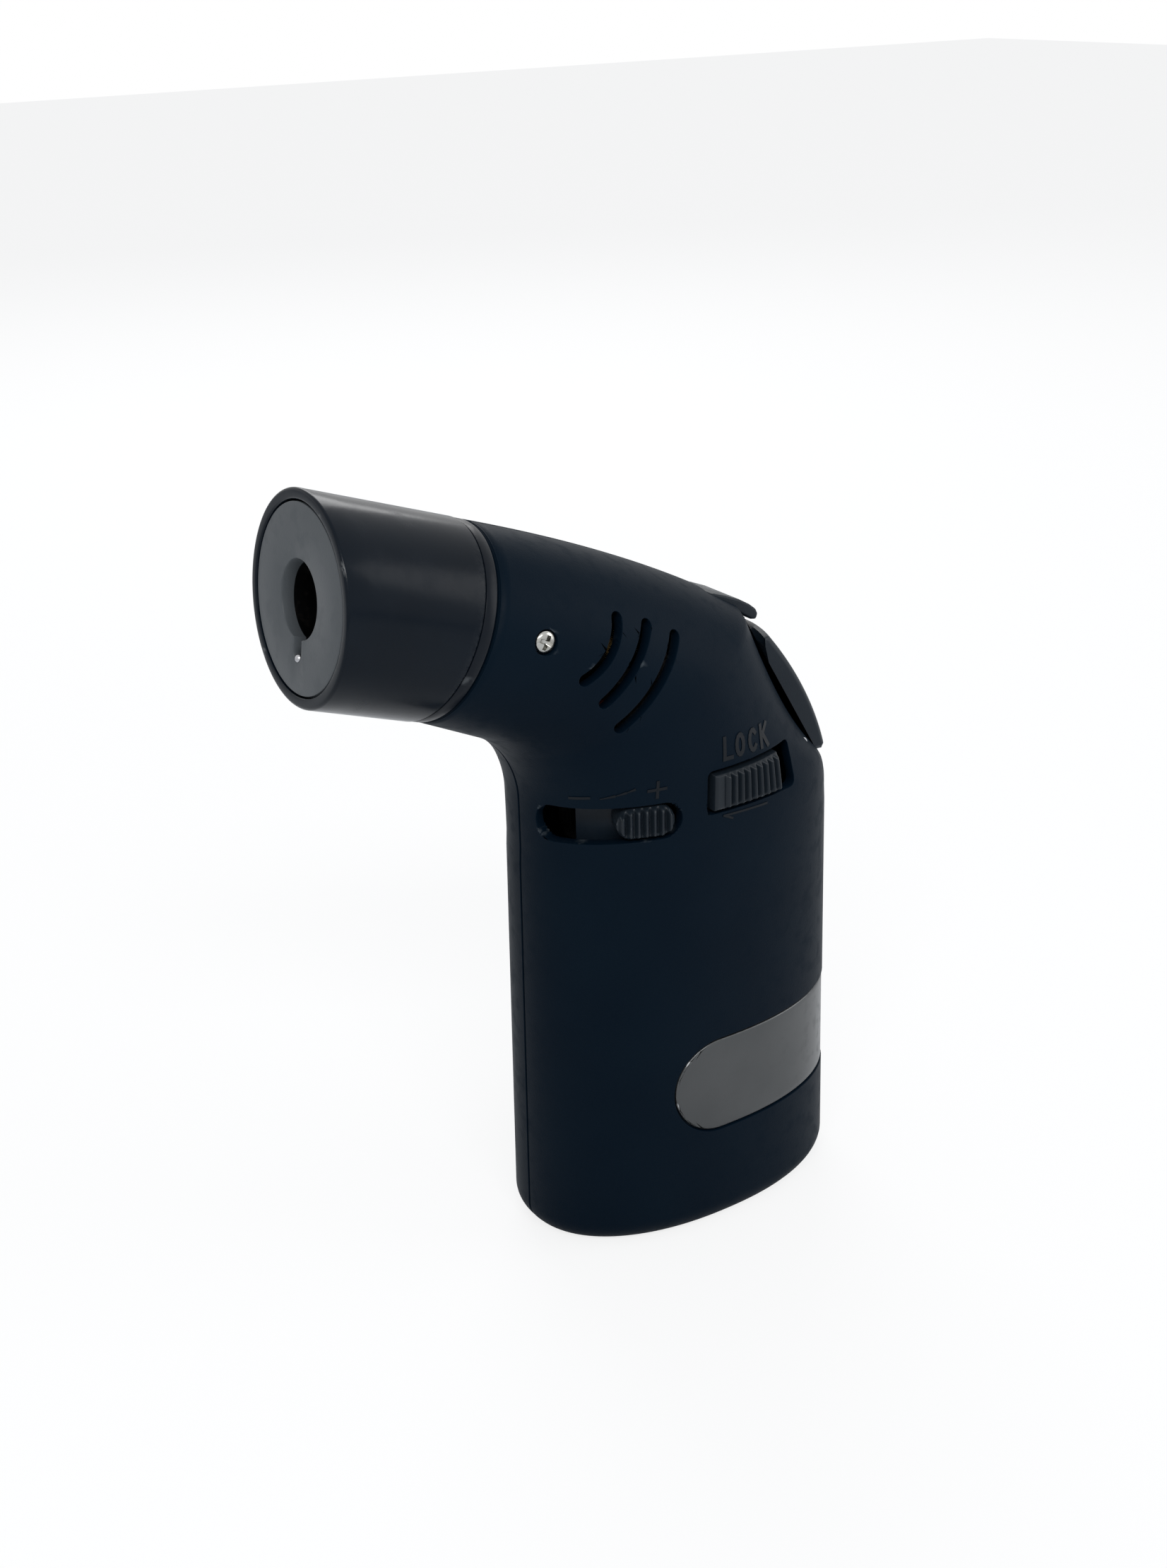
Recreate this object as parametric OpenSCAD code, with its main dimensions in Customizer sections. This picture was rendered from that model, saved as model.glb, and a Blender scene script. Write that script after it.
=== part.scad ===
// Pistol-style butane torch: slanted barrel, oval fuel handle, rear thumb button.
// Origin at the centre of the flat foot, +Z up the handle, flame towards -X,
// slider side towards -Y. Millimetres.

/* [Handle] */
// Handle size front to back at the foot
handle_w = 66.5; // [60:0.5:72]
// Handle thickness side to side at the foot
handle_d = 41.2; // [37:0.2:46]
// Height at which the handle's front starts to curve into the head
neck_z = 88.5; // [86:0.5:92]
// Share of its foot size that the handle keeps at the neck
neck_share = 0.964; // [0.94:0.002:0.99]
// Rounding along the foot's edge
foot_round = 5; // [3:0.5:7]
// Wall thickness of the two shells
wall = 2.2; // [1.8:0.1:2.6]

/* [Barrel] */
// Outer radius of the barrel shroud
barrel_r = 17; // [16:0.25:18]
// Wall of the barrel shroud
barrel_wall = 1.8; // [1.4:0.1:2.2]
// Tilt of the barrel above the horizontal, degrees
barrel_tilt = 19.1; // [17:0.1:21]
// Distance from the handle's axis to the barrel's mouth
barrel_reach = 74.6; // [70:0.2:80]
// Height of the barrel's axis over the foot's centre
barrel_z = 108.3; // [106:0.1:110]
// Radius of the flame port in the front disc
port_r = 6.2; // [5:0.1:7.5]
// Outer radius of the burner tube
burner_r = 7.2; // [6.8:0.1:8]

/* [Controls] */
// Height of the flame slot's middle
flame_z = 86.4; // [85:0.1:88]
// Swing of the flame lever, degrees
flame_swing = 30; // [20:1:30]
// Height of the lock slot's middle
lock_z = 89.6; // [88:0.1:91]
// Travel of the lock slider
lock_travel = 3.4; // [2:0.1:3.4]
// Width of the thumb button
button_w = 17.4; // [14:0.2:18]
// Press of the thumb button, degrees
button_swing = 10; // [6:1:10]

/* [Fuel] */
// Height of the fuel tank
tank_h = 64; // [50:1:66]
// Radius of the filling stem
fill_stem_r = 1.5; // [1.2:0.05:1.8]

/* [Plate] */
// Height of the middle of the plate on the handle
plate_z = 30.7; // [26:0.1:36]
// Height of the plate
plate_h = 18.8; // [14:0.2:22]

/* [Hidden] */
$fn = 48;
eps = 0.02;
gap = 0.3;             // between pieces that move past each other
run = 0.06;            // radial clearance of a pin in its hole
seg = 48;              // points round a shell section
nx = handle_w / 2 * neck_share;
ny = handle_d / 2 * neck_share;
seam_s = 48.4;         // where the shells end along the barrel's axis
seam_lean = 3.9;       // lean of that end from square
mouth_lean = 12;       // lean of the mouth from square
bend_r = 16.4;         // inner bend between handle and head
bend_a = 64;
base_hole_r = 12;
base_hole_x = 8;
fill_x = -9;           // filling valve, in front of the foot's middle
tank_r = 14.6;
tank_x = 9.4;
tank_z0 = 5;
tank_top = tank_z0 + tank_h;
valve_x = -9;
valve_y = 5;
knob_a = 250;          // bearing of the flame knob from the valve
lever_r = 19.7;
lock_y = -13.4;         // outer face of the lock's slide plate
pivot_x = 22.5;        // button's hinge
pivot_z = 89.2;
bay_w = button_w + 2 * gap;
crank_z = 107;         // valve crank's hinge
crank_y = 5;
piezo_y = -4;
piezo_z = 103.5;
shelf_z = piezo_z - 5.9;  // piezo's shelf
screw_x = -36;
screw_z = 123;
screw_on_barrel = let (d = screw_z - barrel_z) [screw_x * sin(barrel_tilt) + d * cos(barrel_tilt),
    screw_x * cos(barrel_tilt) - d * sin(barrel_tilt), 0];
vent_x = -40;
vent_z = 128;

// ---- the outer form: oval rings from the foot up and over into the barrel ----
function bez(a, b, c, d, t) =
    pow(1 - t, 3) * a + 3 * t * pow(1 - t, 2) * b + 3 * t * t * (1 - t) * c + pow(t, 3) * d;
function spow(v, e) = sign(v) * pow(abs(v), e);
function axis_pt(s, up) = [-s * cos(barrel_tilt) + up * sin(barrel_tilt),
    barrel_z + s * sin(barrel_tilt) + up * cos(barrel_tilt)];
function size_at(z) = 1 - (1 - neck_share) * z / neck_z;
lean_up = barrel_r * tan(seam_lean);
top0 = axis_pt(seam_s - lean_up, barrel_r - 0.1);
low0 = axis_pt(seam_s + lean_up, -barrel_r + 0.1);
lip = [12.5, 116.6];                        // top edge of the button's bay
rest = [nx - 2.4, 87];                      // bottom edge of the bay
bend = [-nx - bend_r * (1 - cos(bend_a)), neck_z + bend_r * sin(bend_a)];
function outer(i) =                         // 0 to 21, from the handle's back to the barrel
    i <= 4 ? bez([nx, 79.5], [nx, 83], [nx - 0.6, 85], rest, i / 4) :
    i <= 12 ? bez(rest, [21.5, 95.2], [16.8, 106], lip, (i - 4) / 8) :
    bez(lip, [-2, 125.4], [-20, 133.2], top0, (i - 12) / 9);
function inner(i) =
    i <= 4 ? [-nx, 79.5 + (neck_z - 79.5) * i / 4] :
    i <= 17 ? [-nx - bend_r * (1 - cos(bend_a * (i - 4) / 13)),
        neck_z + bend_r * sin(bend_a * (i - 4) / 13)] :
    bend + (low0 - bend) * (i - 17) / 4;
function half_d(i) = ny + (barrel_r - 0.1 - ny) * pow(max(0, i - 8) / 13, 1.6);
function form_e(i) = 2.2 - 0.2 * max(0, i - 8) / 13;
// One ring, drawn in by an even amount
function ring(a, b, hd, e, inset) =
    let (m = (a + b) / 2, h = (b - a) / 2, k = 1 - inset / norm(h))
    [for (j = [0:seg - 1]) let (c = spow(cos(360 * j / seg), 2 / e), s = spow(sin(360 * j / seg), 2 / e))
        [m[0] + h[0] * k * c, (hd - inset) * s, m[1] + h[1] * k * c]];
function flat_ring(z, inset) =
    ring([-handle_w / 2 * size_at(z), z], [handle_w / 2 * size_at(z), z],
        handle_d / 2 * size_at(z), 2.2, inset);
function foot_rings(inset, z0, r) =
    [for (q = [0:4]) flat_ring(z0 + r * (1 - cos(22.5 * q)), inset + r * (1 - sin(22.5 * q)))];
function head_rings(inset) =
    [for (i = [0:21]) ring(inner(i), outer(i), half_d(i), form_e(i), inset)];
module skin(rings) {
    n = len(rings);
    polyhedron(
        points = [for (r = rings) for (p = r) p],
        faces = concat(
            [[for (j = [0:seg - 1]) j]],
            [[for (j = [0:seg - 1]) (n - 1) * seg + seg - 1 - j]],
            [for (i = [0:n - 2]) for (j = [0:seg - 1]) [i * seg + j, (i + 1) * seg + j,
                i * seg + (j + 1) % seg]],
            [for (i = [0:n - 2]) for (j = [0:seg - 1]) [(i + 1) * seg + j,
                (i + 1) * seg + (j + 1) % seg, i * seg + (j + 1) % seg]]));
}
module form(inset, z0 = 0, r = foot_round) {
    skin(concat(foot_rings(inset, z0, r), [flat_ring(30, inset), flat_ring(55, inset)],
        head_rings(inset)));
}

// ---- small helpers ----
module along_barrel() { translate([0, 0, barrel_z]) rotate([0, barrel_tilt - 90, 0]) children(); }
module ycyl(x, z, r, y0, y1) { translate([x, y0, z]) rotate([-90, 0, 0]) cylinder(r = r, h = y1 - y0); }
module tube(r1, r2, h) { difference() { cylinder(r = r1, h = h); translate([0, 0, -1]) cylinder(r = r2, h = h + 2); } }
module stadium(r, x, h) {
    linear_extrude(h) { square([2 * x, 2 * r], center = true); for (m = [-x, x]) translate([m, 0]) circle(r); }
}
module side_cut(pts, w) { translate([0, w / 2, 0]) rotate([90, 0, 0]) linear_extrude(w) polygon(pts); }
// A slab square to the barrel's axis, leaned about Y; s is where it starts on the axis
module leaned(s, h, lean, r = 30) { translate([0, 0, s]) rotate([0, -lean, 0]) translate([-r, -r, 0]) cube([2 * r, 2 * r, h]); }
// A point on the smooth curve through pts, u from 0 to 1
function on_curve(pts, u) =
    let (n = len(pts) - 1, k = min(floor(u * n), n - 1), t = u * n - k,
        a = pts[max(k - 1, 0)], b = pts[k], c = pts[k + 1], d = pts[min(k + 2, n)])
    0.5 * (2 * b + (c - a) * t + (2 * a - 5 * b + 4 * c - d) * t * t + (3 * b - a - 3 * c + d) * t * t * t);
module pipe(pts, r, links) {
    for (i = [0:links - 1]) hull() for (e = [0, 1]) translate(on_curve(pts, (i + e) / links)) sphere(r, $fn = 12);
}
function barrel_3d(s, up) = let (p = axis_pt(s, up)) [p[0], 0, p[1]];

// ---- shells ----
boss_at = [[24, 75.2], [-24.5, 75], [-2, 113.8], [27.8, 12], [-27.8, 12]];
plate_x = -3;          // centre of the plate's round end
module plate_area(grow) {
    y = handle_d;
    translate([plate_x, -y, plate_z - plate_h / 2 - grow]) cube([handle_w, 2 * y, plate_h + 2 * grow]);
    ycyl(plate_x, plate_z, plate_h / 2 + grow, -y, y);
}
module vents() {
    for (m = [-21.5, 21.5], v = [[16.4, -6, -49], [22.5, -12, -51], [28.9, -15, -53]], q = [0:3])
        hull() for (e = [0, 1]) let (a = v[1] + (v[2] - v[1]) * (q + e) / 4) translate([0, m, 0])
            ycyl(vent_x + v[0] * cos(a), vent_z + v[0] * sin(a), 1.05, -8.5, 8.5, $fn = 16);
}
module flame_slot() {
    for (q = [0:7]) hull() for (e = [0, 1]) let (a = 209.3 + 53.6 * (q + e) / 8)
        translate([valve_x, valve_y, flame_z]) rotate([0, 0, a]) rotate([0, 90, 0])
            translate([0, 0, 18]) cylinder(r = 3.4, h = 14, $fn = 28);
}
module lock_slot() {
    hull() for (x = [-4.7, 13.9], z = [-3, 3]) ycyl(x, lock_z + z, 1.1, -30, -12, $fn = 20);
}
bay = [[4, 107], [11.4, 117.6], [20, 125], [45, 110], [45, 86.2], [22, 83.6], [15, 84], [8, 96]];
module bay_walls() {
    for (m = [-1, 1]) translate([0, m * (bay_w / 2 + 0.9), 0]) side_cut(
        [[12, 104], [12.5, 118], [24, 118], [36, 90], [30, 86], [19, 84], [17.5, 92]], 1.8);
}
module ribs() {
    // burner bulkhead
    along_barrel() difference() {
        translate([-19, -26, 20]) cube([45, 52, 2]);
        translate([0, 0, 19]) { cylinder(r = burner_r + 0.1, h = 4); translate([-9.3, 0, 0]) cylinder(r = 1.5, h = 4); }
    }
    // collar round the tank
    translate([0, 0, 56]) difference() {
        translate([-40, -30, 0]) cube([80, 60, 2]);
        translate([0, 0, -1]) stadium(tank_r + 0.3, tank_x, 4);
    }
    bay_walls();
}
module bosses() { for (b = boss_at) ycyl(b[0], b[1], 2.7, -25, 25); }
module both_shells($fn = 24) {
    difference() {
        union() {
            difference() {
                form(0);
                form(wall, wall, foot_round - wall);
                along_barrel() translate([0, 0, seam_s - 3]) cylinder(r = barrel_r + 0.1 - wall, h = 8);
            }
            intersection() { form(wall - 0.15, wall - 0.15, foot_round - wall); union() { ribs(); bosses(); } }
        }
        difference() { plate_band(0.95, 0.35, -1); }
        side_cut(bay, bay_w);
        side_cut([[5, 116], [5, 130], [20, 130], [14, 112]], 11.1);
        translate([0, 0, -1]) stadium(base_hole_r, base_hole_x, 4);
        vents();
        for (m = [-1, 1]) { ycyl(screw_x, screw_z, 1.25, -30, 30); ycyl(screw_x, screw_z, 2.1, m > 0 ? 16.3 : -30, m > 0 ? 30 : -16.3); }
        ycyl(pivot_x, pivot_z, 1.25 + 0.01, -10.9, 10.9);
        for (b = boss_at) { ycyl(b[0], b[1], 1.05, -5.5, 30); }
        screw_wells();
    }
}
well_y = [8.5, 10, 13.8, 7.5, 7.5];
module screw_wells() { for (i = [0:4]) ycyl(boss_at[i][0], boss_at[i][1], 2.2, well_y[i], 30); }
// The band let into the handle: from in_to deep to out_to under the surface
module plate_band(in_to, grow, out_to) {
    z0 = plate_z - plate_h / 2 - grow;
    z1 = plate_z + plate_h / 2 + grow;
    intersection() {
        difference() {
            skin([flat_ring(z0, out_to), flat_ring(z1, out_to)]);
            skin([flat_ring(z0 - 1, in_to), flat_ring(z1 + 1, in_to)]);
        }
        plate_area(grow);
    }
}
module left_shell() {
    color([0.06, 0.08, 0.1]) difference() {
        both_shells();
        translate([-90, 0, -1]) cube([180, 60, 180]);
        flame_slot();
        lock_slot();
    }
}
module right_shell() {
    color([0.06, 0.08, 0.1]) difference() {
        union() {
            difference() { both_shells(); translate([-90, -60, -1]) cube([180, 60, 180]); }
            intersection() {
                form(wall - 0.15, wall - 0.15, foot_round - wall);
                union() {
                    translate([0.5, 0.4, shelf_z]) cube([2.1, 30, 1.8]);
                    ycyl(0, crank_z, 2.4, crank_y + 1.8, 30);
                }
            }
            translate([0.5, piezo_y - 4, shelf_z]) cube([2.1, 16, 1.8]);
        }
        ycyl(0, crank_z, 1.0, crank_y, crank_y + 10);
    }
}

// ---- barrel ----
module barrel_shroud() {
    color([0.02, 0.02, 0.025]) along_barrel() {
        difference() {
            intersection() {
                translate([0, 0, 40]) tube(barrel_r, barrel_r - barrel_wall, 50);
                leaned(51.2, 60, -seam_lean);
            }
            leaned(barrel_reach, 40, mouth_lean);
        }
        difference() {
            translate([0, 0, 28.6]) tube(14.3, 12.9, 24.4);
            translate([0, -20, 0]) rotate([-90, 0, 0]) translate(screw_on_barrel) cylinder(r = 1.05, h = 40);
        }
        translate([0, 0, 53]) tube(barrel_r - barrel_wall + 0.1, 12.9, 1.4);
    }
}
module shroud_collar() {
    color([0.03, 0.03, 0.035]) along_barrel() intersection() {
        translate([0, 0, 40]) tube(barrel_r - 0.1, 14.4, 20);
        leaned(49, 2.1, -seam_lean);
    }
}
module front_slab(back, h) { leaned(barrel_reach - back, h, mouth_lean); }
module front_disc() {
    color([0.45, 0.46, 0.47]) along_barrel() difference() {
        intersection() { translate([0, 0, 60]) cylinder(r = barrel_r - barrel_wall, h = 30); front_slab(2.4, 1.6); }
        translate([0, 0, 60]) cylinder(r = port_r, h = 30);
        translate([-8.6, -0.65, 60]) cube([5, 1.3, 30]);
        translate([-9.3, 0, 60]) cylinder(r = 1, h = 30);
    }
}
module burner_tube() {
    color([0.6, 0.6, 0.6]) along_barrel() difference() {
        translate([0, 0, 19]) tube(burner_r, burner_r - 0.8, 70);
        front_slab(2.4, 40);
        for (m = [-1, 1]) translate([0, m * 4, 30]) rotate([-90 * m, 0, 0]) cylinder(r = 2, h = 6);
    }
}
module flame_holder() {
    color([0.5, 0.48, 0.45]) along_barrel() translate([0, 0, 60]) difference() {
        cylinder(r = burner_r - 0.83, h = 1.6);
        translate([0, 0, -1]) cylinder(r = 2, h = 4);
        for (q = [0:7]) rotate([0, 0, 45 * q]) translate([4.2, 0, -1]) cylinder(r = 1, h = 4);
    }
}
module jet_holder() {
    color([0.75, 0.6, 0.3]) along_barrel() difference() {
        union() { translate([0, 0, 17]) cylinder(r = burner_r - 0.83, h = 8); translate([0, 0, 11]) cylinder(r = 0.78, h = 6.5); }
        translate([0, 0, 10]) cylinder(r = 0.5, h = 20);
        translate([0, 0, 21]) cylinder(r = 1.8, h = 5);
    }
}
module jet() {
    color([0.8, 0.65, 0.35]) along_barrel() difference() {
        union() { translate([0, 0, 21]) cylinder(r = 1.8, h = 4); translate([0, 0, 25]) cylinder(r1 = 2.6, r2 = 1.2, h = 3); }
        translate([0, 0, 20]) cylinder(r = 0.3, h = 10);
    }
}
module electrode() {
    color([0.7, 0.7, 0.7]) along_barrel() translate([-9.3, 0, 0]) {
        translate([0, 0, 33]) cylinder(r = 0.55, h = barrel_reach - 35.6);
        translate([0, 0, barrel_reach - 2.7]) sphere(0.75);
    }
}
module insulator() {
    color([0.9, 0.9, 0.87]) along_barrel() translate([-9.3, 0, 0]) {
        translate([0, 0, 34]) tube(1.7, 0.55, 30);
        translate([0, 0, 36]) tube(1.9, 0.55, 3);
    }
}
module ignition_lead() {
    color([0.5, 0.05, 0.05]) pipe([[-15.05, piezo_y, piezo_z], [-17.5, -3.6, 103.8], [-19.4, -1.2, 104.6],
        barrel_3d(20, -9.3), barrel_3d(26, -9.3), barrel_3d(32, -9.3)], 1, 12);
}
hose_pts = [[valve_x - 5.4, valve_y, 76], [-17, valve_y, 76.6], [-19.2, valve_y, 80.5], [-19.4, valve_y, 98],
    [-15.6, 4, 105.3], [-11.4, 1.6, 109.6], barrel_3d(11, 0), barrel_3d(15.3, 0)];
module gas_hose() {
    n = len(hose_pts) - 1;
    color([0.8, 0.75, 0.6]) difference() {
        pipe(hose_pts, 1.6, 18);
        pipe(concat([hose_pts[0] + [4, 0, 0]], hose_pts, [barrel_3d(20, 0)]), 1, 20);
    }
}

// ---- fuel ----
module tank() {
    color([0.85, 0.85, 0.8, 0.6]) difference() {
        translate([0, 0, tank_z0]) stadium(tank_r, tank_x, tank_h);
        translate([0, 0, tank_z0 + 1.8]) stadium(tank_r - 1.6, tank_x, tank_h);
        translate([fill_x, 0, tank_z0 - 1]) cylinder(r = 3.9, h = 4);
    }
}
module tank_seal() {
    color([0.05, 0.05, 0.05]) translate([0, 0, tank_top]) difference() {
        stadium(tank_r, tank_x, 0.8);
        translate([0, 0, -1]) stadium(tank_r - 1.6, tank_x, 3);
    }
}
module tank_lid() {
    color([0.8, 0.8, 0.78]) difference() {
        union() {
            translate([0, 0, tank_top + 0.8]) stadium(tank_r, tank_x, 2);
            translate([0, 0, tank_top - 3]) stadium(tank_r - 1.6, tank_x, 4);
        }
        translate([valve_x, valve_y, tank_top - 4]) cylinder(r = 3.6, h = 9);
    }
}
module valve_body() {
    color([0.78, 0.62, 0.3]) difference() {
        union() {
            translate([valve_x, valve_y, tank_top - 5]) cylinder(r = 3.6, h = 20);
            translate([valve_x, valve_y, tank_top + 2.8]) cylinder(r = 5.4, h = 1.6, $fn = 6);
            translate([valve_x, valve_y, 76]) rotate([0, -90, 0]) cylinder(r = 0.85, h = 6.4);
        }
        translate([valve_x, valve_y, 80]) cylinder(r = 1 + run, h = 9);
    }
}
module valve_stem() {
    color([0.8, 0.7, 0.4]) translate([valve_x, valve_y, 0]) {
        translate([0, 0, 80.5]) cylinder(r = 1, h = 13);
        translate([0, 0, 93]) cylinder(r = 2.2, h = 1.2);
    }
}
module valve_crank() {
    color([0.55, 0.56, 0.58]) difference() {
        translate([0, crank_y, 0]) union() {
            ycyl(0, crank_z, 2.4, -1.4, 1.4);
            side_cut([[-2, crank_z], [1.6, crank_z - 1], [-1.2, 92.8], [-2.2, 91.3], [-4.2, 91.3], [-4.2, 92.8]], 2.8);
            side_cut([[-1, crank_z - 2], [2.2, crank_z], [10.2, 98.6], [8, 97]], 2.8);
            ycyl(9, 98, 1.6, -1.4, 1.4);
            for (m = [-1, 1]) translate([-12, m * 1.9 - 0.7, 91.3]) cube([9.4, 1.4, 1.5]);
            translate([-4.2, -2.6, 91.3]) cube([1.6, 5.2, 1.5]);
        }
        ycyl(0, crank_z, 1 + run, -20, 20);
    }
}
module crank_pin() { color([0.7, 0.7, 0.7]) ycyl(0, crank_z, 1, crank_y - 2, crank_y + 8); }
module flame_ring() {
    color([0.12, 0.12, 0.13]) translate([valve_x, valve_y, 0]) {
        translate([0, 0, 78]) tube(6.2, 3.6 + run, 3);
        rotate([0, 0, knob_a]) translate([5, -2, 78]) cube([14.9, 4, 2.2]);
        rotate([0, 0, knob_a - 33]) translate([0, 0, 78]) rotate_extrude(angle = 45) translate([lever_r - 0.9, 0]) square([0.9, 13.2]);
    }
}
module flame_knob() {
    color([0.04, 0.04, 0.045]) translate([valve_x, valve_y, flame_z]) rotate([0, 0, knob_a]) translate([lever_r + 0.01, 0, 0]) {
        rotate([0, 90, 0]) linear_extrude(4.3) { square([6, 4.4], center = true); for (m = [-2.2, 2.2]) translate([0, m]) circle(3); }
        for (q = [-3:3]) let (h = abs(q) == 3 ? 1.9 : 2.8) translate([4.2, q * 1.4 - 0.35, -h]) cube([0.8, 0.7, 2 * h]);
    }
}
module fill_valve() {
    color([0.8, 0.65, 0.32]) difference() {
        union() {
            translate([fill_x, 0, 5]) cylinder(r = 3.9, h = 10);
            translate([fill_x, 0, 3.4]) cylinder(r = 5.6, h = 1.6);
        }
        translate([fill_x, 0, 2]) cylinder(r = fill_stem_r + run, h = 3.2);
        translate([fill_x, 0, 5]) cylinder(r = fill_stem_r * 0.8 + run, h = 8);
    }
}
module fill_stem() {
    color([0.85, 0.7, 0.35]) difference() {
        union() {
            translate([fill_x, 0, 0.5]) cylinder(r = fill_stem_r, h = 2.8);
            translate([fill_x, 0, 3.3]) cylinder(r = fill_stem_r * 0.8, h = 7.7);
        }
        translate([fill_x, 0, 0]) cylinder(r = 0.5, h = 6);
    }
}
module base_cover() {
    color([0.05, 0.06, 0.07]) difference() {
        union() {
            stadium(base_hole_r - 0.12, base_hole_x, 2.6);
            translate([0, 0, wall]) stadium(base_hole_r + 1.6, base_hole_x, tank_z0 - wall);
        }
        translate([fill_x, 0, -1]) cylinder(r = 5.6, h = 9);
    }
}
module name_plate() { color([0.33, 0.34, 0.33]) plate_band(0.95, 0, 0.15); }

// ---- screws ----
module barrel_screws() {
    color([0.75, 0.76, 0.78]) for (m = [-1, 1]) translate([screw_x, 0, screw_z]) mirror([0, m < 0 ? 1 : 0, 0]) screw_y(17.5, 4.4);
}
module screw_y(y, len) {
    difference() {
        union() { ycyl(0, 0, 1.9, y - 1.2, y); ycyl(0, 0, 1.04, y - len, y - 1); }
        for (a = [0, 90]) rotate([0, a, 0]) translate([-1.2, y - 0.8, -0.25]) cube([2.4, 2, 0.5]);
    }
}
module shell_screws() {
    color([0.7, 0.7, 0.72]) for (i = [0:4]) translate([boss_at[i][0], 0, boss_at[i][1]]) screw_y(well_y[i] + 1.2, well_y[i] + 5.6);
}

// ---- button, igniter, lock ----
btn_out = [for (q = [0:10]) bez([17, 112], [24, 104], [29, 95], [31.2, 86.9], q / 10)];
module thumb_button() {
    n = button_w;
    color([0.05, 0.06, 0.07]) difference() {
        union() {
            side_cut(concat(btn_out, [[27.5, 86.9], [19.5, 86.4], [19.6, 92], [14.6, 108], [14.6, 110.6]]), n - 2);
            side_cut(concat([for (p = btn_out) p - [0.7, 0.4]], [[27, 87.2], [19.5, 86.4], [19.6, 92], [14.6, 108], [14.8, 110.6]]), n);
        }
        side_cut(concat([for (q = [2:10]) btn_out[q] - [2.6, 1.2]], [[22, 80], [10, 80], [8, 108]]), n - 3.4);
        ycyl(pivot_x, pivot_z, 1.25 + run, -20, 20);
    }
    color([0.05, 0.06, 0.07]) {
        translate([13, piezo_y - 1.5, 101.5]) cube([8.6, 3, 4]);
        translate([11.1, crank_y - 1, 96]) cube([14, 2, 4]);
    }
}
module button_pin() { color([0.7, 0.7, 0.7]) ycyl(pivot_x, pivot_z, 1.25, -10.7, 10.7); }
module top_bridge() {
    color([0.05, 0.06, 0.07]) side_cut([[5.2, 117.5], [6, 119.9], [12, 117.6], [17, 114.4], [18.1, 112.9],
        [17.3, 112.3], [14.6, 114], [11.6, 115.6]], 11);
}
module piezo_body() {
    color([0.9, 0.88, 0.8]) difference() {
        translate([-14, piezo_y - 4, piezo_z - 4.1]) cube([22, 8, 8.2]);
        translate([0, piezo_y, piezo_z]) rotate([0, 90, 0]) cylinder(r = 2.4 + run, h = 9);
    }
}
module piezo_plunger() {
    color([0.2, 0.2, 0.22]) translate([0, piezo_y, piezo_z]) rotate([0, 90, 0]) {
        translate([0, 0, 3.2]) cylinder(r = 2.4, h = 9.4);
    }
}
module lock_slider() {
    color([0.1, 0.1, 0.11]) {
        translate([-8, lock_y, lock_z - 5.4]) cube([17.4, 1.2, 9.6]);
        translate([6, lock_y + 1, lock_z - 1]) cube([2.4, 1, 3]);
    }
}
module lock_knob() {
    color([0.04, 0.04, 0.045]) {
        intersection() {
            translate([-4.6, -24, lock_z - 3.4]) cube([15.3, 24 + lock_y, 6.8]);
            skin([flat_ring(80, -0.9), flat_ring(100, -0.9)]);
        }
        for (q = [0:7]) let (x = -0.9 + q * 1.5) intersection() {
            translate([x, -24, lock_z - 3.2]) cube([0.8, 6, 6.4]);
            skin([flat_ring(80, -1.6), flat_ring(100, -1.6)]);
        }
    }
}

left_shell();
right_shell();
barrel_shroud();
shroud_collar();
front_disc();
burner_tube();
flame_holder();
jet_holder();
jet();
electrode();
insulator();
ignition_lead();
gas_hose();
tank();
tank_seal();
tank_lid();
valve_body();
valve_stem();
valve_crank();
crank_pin();
flame_ring();
flame_knob();
fill_valve();
fill_stem();
base_cover();
name_plate();
barrel_screws();
shell_screws();
thumb_button();
button_pin();
top_bridge();
piezo_body();
piezo_plunger();
lock_slider();
lock_knob();
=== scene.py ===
import math

import bmesh
import bpy
from mathutils import Matrix, Vector
from mathutils.bvhtree import BVHTree


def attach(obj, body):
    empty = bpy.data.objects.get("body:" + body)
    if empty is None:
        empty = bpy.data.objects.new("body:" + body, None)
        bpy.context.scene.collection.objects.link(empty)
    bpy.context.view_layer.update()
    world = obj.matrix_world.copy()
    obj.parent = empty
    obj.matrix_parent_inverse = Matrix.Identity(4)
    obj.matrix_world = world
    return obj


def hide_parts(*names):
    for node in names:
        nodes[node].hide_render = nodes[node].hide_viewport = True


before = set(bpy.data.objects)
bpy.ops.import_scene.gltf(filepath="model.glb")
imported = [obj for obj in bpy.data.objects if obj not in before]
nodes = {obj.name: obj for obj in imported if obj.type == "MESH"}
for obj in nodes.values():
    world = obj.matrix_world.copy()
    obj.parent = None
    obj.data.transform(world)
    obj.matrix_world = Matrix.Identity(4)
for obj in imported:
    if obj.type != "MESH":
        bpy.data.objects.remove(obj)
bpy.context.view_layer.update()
scene = bpy.context.scene

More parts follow.
